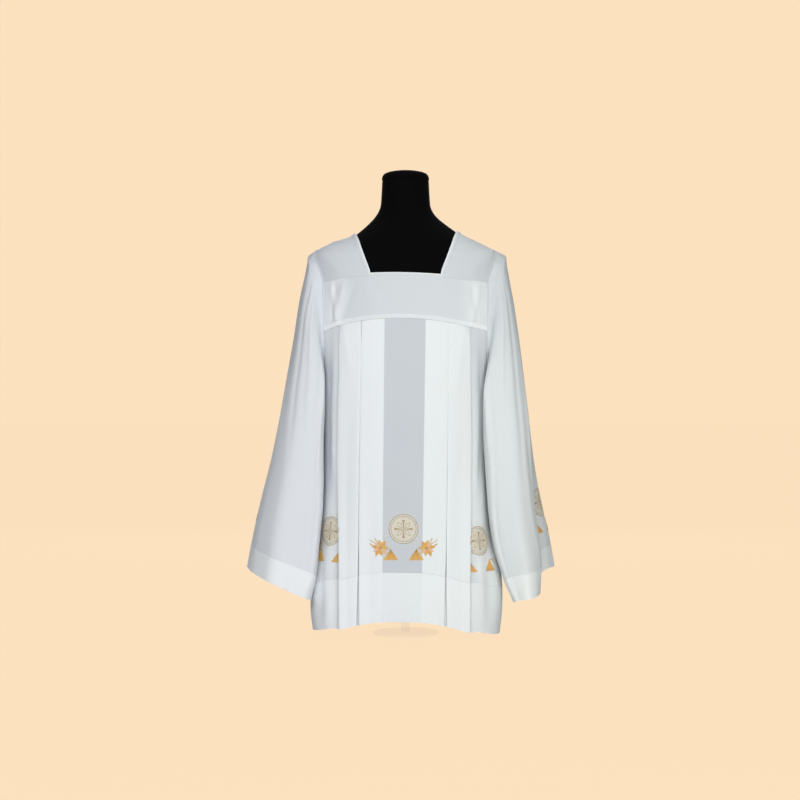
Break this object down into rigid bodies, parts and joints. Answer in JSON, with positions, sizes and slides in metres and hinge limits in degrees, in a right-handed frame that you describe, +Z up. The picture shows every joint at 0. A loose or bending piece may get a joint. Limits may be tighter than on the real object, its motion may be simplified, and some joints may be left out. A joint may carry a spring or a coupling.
{
  "type": "surplice on a dress form",
  "caption": "White square-necked surplice with a pleated body and wide sleeves, worn on a black limbless dress form that stands on a clear base.",
  "frame": {"origin": "centre of the part's bounding box on the floor, under the stand's base", "axes": "+Z up; the front faces -Y, so +X is the wearer's left"},
  "size_m": [0.7105, 0.282, 1.0673],
  "materials": {
    "white_cloth": "plain woven, one layer, slightly sheer",
    "white_doubled_cloth": "the same cloth where it lies double, in the yokes, bands and binding",
    "black_form": "matt black jersey stretched over the form",
    "clear_acrylic": "clear, polished"
  },
  "bodies": {
    "root": {"form_torso": "black_form", "form_neck_cap": "black_form", "form_base": "clear_acrylic", "form_pole": "clear_acrylic", "front_yoke": "white_doubled_cloth", "back_yoke": "white_doubled_cloth", "left_shoulder": "white_doubled_cloth", "right_shoulder": "white_doubled_cloth", "neck_binding": "white_doubled_cloth", "front_panel": "white_cloth", "back_panel": "white_cloth", "front_hem_band": "white_doubled_cloth", "back_hem_band": "white_doubled_cloth", "left_sleeve": "white_cloth", "right_sleeve": "white_cloth", "left_sleeve_band": "white_doubled_cloth", "right_sleeve_band": "white_doubled_cloth"}
  },
  "joints": []
}
